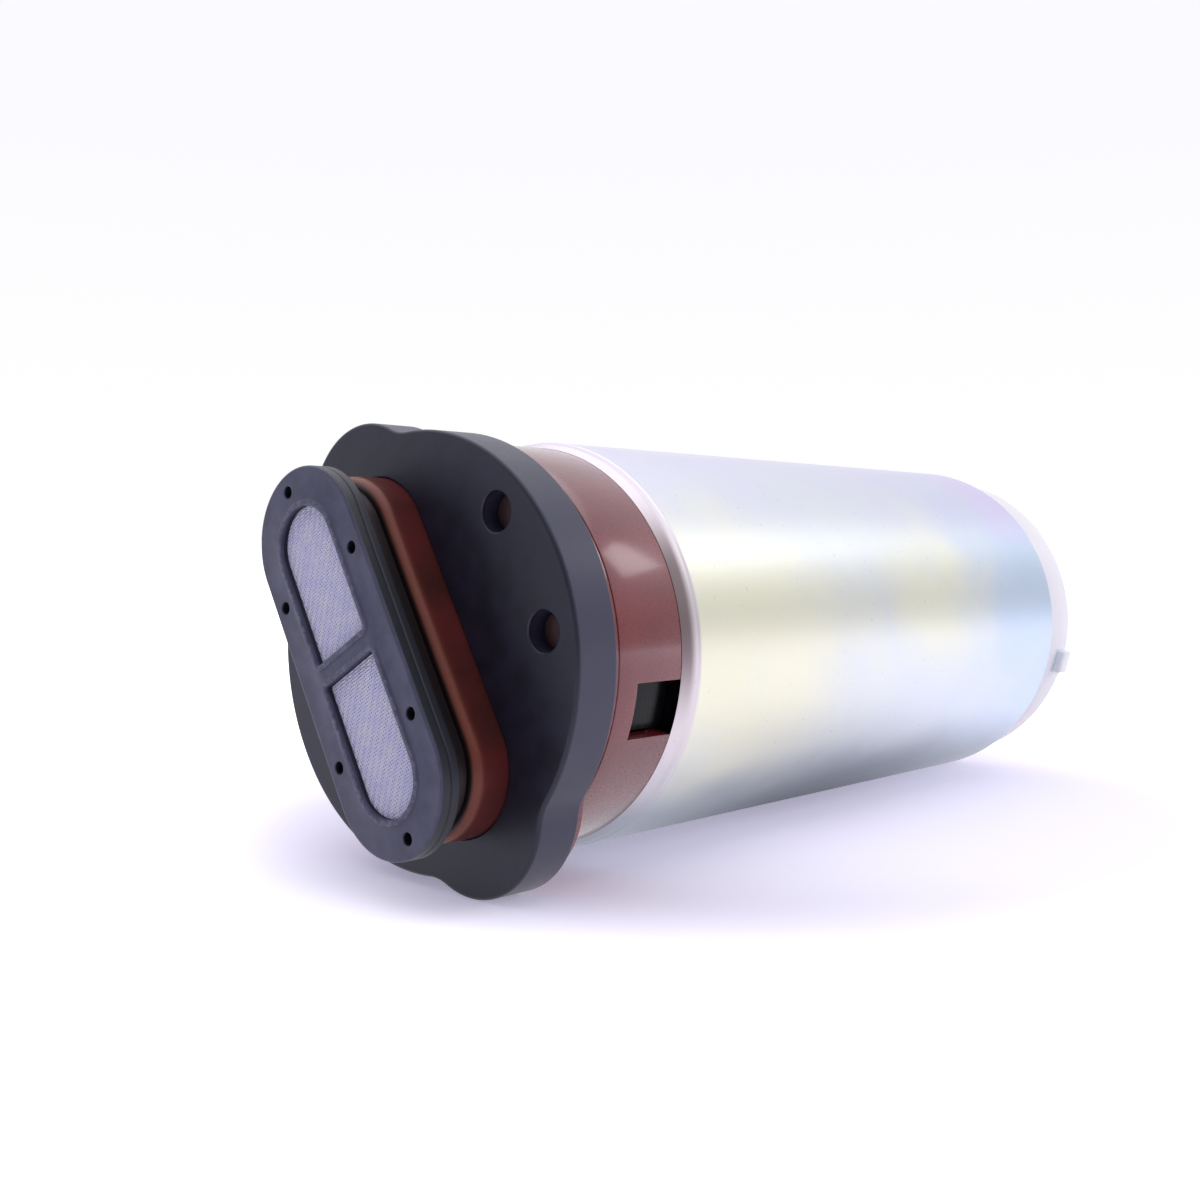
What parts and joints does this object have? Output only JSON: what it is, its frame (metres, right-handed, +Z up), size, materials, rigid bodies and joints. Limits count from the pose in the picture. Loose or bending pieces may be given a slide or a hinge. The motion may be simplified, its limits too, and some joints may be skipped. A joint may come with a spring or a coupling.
{
  "type": "electric fuel pump",
  "caption": "In-tank electric fuel pump: plated steel can, brown inlet housing with lobed flange and oval mesh strainer, white end cap with outlet nipple and two-blade connector.",
  "frame": {"origin": "on the pump axis, half way along the can", "axes": "+X along the axis from the inlet strainer to the outlet, +Z up as the pump lies in the picture"},
  "size_m": [0.1317, 0.0436, 0.0458],
  "materials": {
    "zinc_steel": "yellow-blue passivated zinc, fine satin grain",
    "brown_plastic": "glass-filled brown moulding, satin gloss",
    "black_plastic": "black moulding, light satin",
    "dark_plastic": "dark grey moulding",
    "white_plastic": "natural white moulding, slightly translucent",
    "mesh_cloth": "fine woven filter cloth",
    "cast_alloy": "die cast and faced",
    "sintered": "sintered and ground steel",
    "steel": "ground or drawn steel",
    "lamination": "stacked steel sheets",
    "bronze": "oil-filled sintered bronze",
    "brass": "rolled brass",
    "copper": "copper wire",
    "ferrite": "pressed ferrite",
    "carbon": "pressed carbon",
    "rubber": "fluorocarbon rubber"
  },
  "bodies": {
    "root": {"pump_can": "zinc_steel", "inlet_housing": "brown_plastic", "base_flange": "black_plastic", "strainer_cover": "black_plastic", "strainer_mesh": "mesh_cloth", "strainer_frame": "black_plastic", "end_cap": "white_plastic", "inlet_duct": "dark_plastic", "inlet_plate": "cast_alloy", "rotor_ring": "sintered", "outlet_plate": "cast_alloy", "plate_screws": "steel", "plate_dowels": "steel", "plate_seal": "rubber", "front_bush": "bronze", "middle_bush": "bronze", "rear_bush": "bronze", "thrust_pad": "steel", "flux_ring": "steel", "magnet_upper": "ferrite", "magnet_lower": "ferrite", "magnet_clips": "steel", "brush_carrier": "dark_plastic", "brush_spring_left": "steel", "brush_spring_right": "steel", "brush_lead_left": "copper", "brush_lead_right": "copper", "choke_cores": "ferrite", "choke_coils": "copper", "terminal_left": "brass", "terminal_right": "brass", "terminal_leads": "copper", "cap_seal": "rubber", "check_spring": "steel", "check_retainer": "brass", "relief_seat": "brass", "relief_spring": "steel"},
    "armature": {"motor_shaft": "steel", "core_stack": "lamination", "slot_insulators": "white_plastic", "windings": "copper", "commutator_hub": "dark_plastic", "commutator_segments": "carbon", "inner_rotor": "sintered", "thrust_washer": "bronze"},
    "outer_rotor": {"outer_rotor": "sintered"},
    "brush_left": {"brush_left": "carbon"},
    "brush_right": {"brush_right": "carbon"},
    "check_valve": {"check_poppet": "dark_plastic"},
    "relief_valve": {"relief_ball": "steel"}
  },
  "joints": [
    {"name": "armature_spin", "type": "hinge", "parent": "root", "child": "armature", "pos_m": [0, 0, 0], "axis": [1, 0, 0], "continuous": true},
    {"name": "outer_rotor_spin", "type": "hinge", "parent": "root", "child": "outer_rotor", "pos_m": [-0.0281, 0.00117, 0.00028], "axis": [1, 0, 0], "continuous": true},
    {"name": "brush_left_slide", "type": "slide", "parent": "root", "child": "brush_left", "axis": [1, 0, 0], "range_m": [0, 0.0025], "stiffness_N_per_m": 100, "springref_m": -0.005, "deforming": ["brush_spring_left", "brush_lead_left"]},
    {"name": "brush_right_slide", "type": "slide", "parent": "root", "child": "brush_right", "axis": [1, 0, 0], "range_m": [0, 0.0025], "stiffness_N_per_m": 100, "springref_m": -0.005, "deforming": ["brush_spring_right", "brush_lead_right"]},
    {"name": "check_valve_slide", "type": "slide", "parent": "root", "child": "check_valve", "axis": [1, 0, 0], "range_m": [0, 0.002], "stiffness_N_per_m": 5, "springref_m": -0.004, "deforming": ["check_spring"]},
    {"name": "relief_valve_slide", "type": "slide", "parent": "root", "child": "relief_valve", "axis": [-1, 0, 0], "range_m": [0, 0.002], "stiffness_N_per_m": 10, "springref_m": -0.004, "deforming": ["relief_spring"]}
  ],
  "couplings": [
    {"joint": "outer_rotor_spin", "follows": "armature_spin", "ratio": 0.85714}
  ]
}
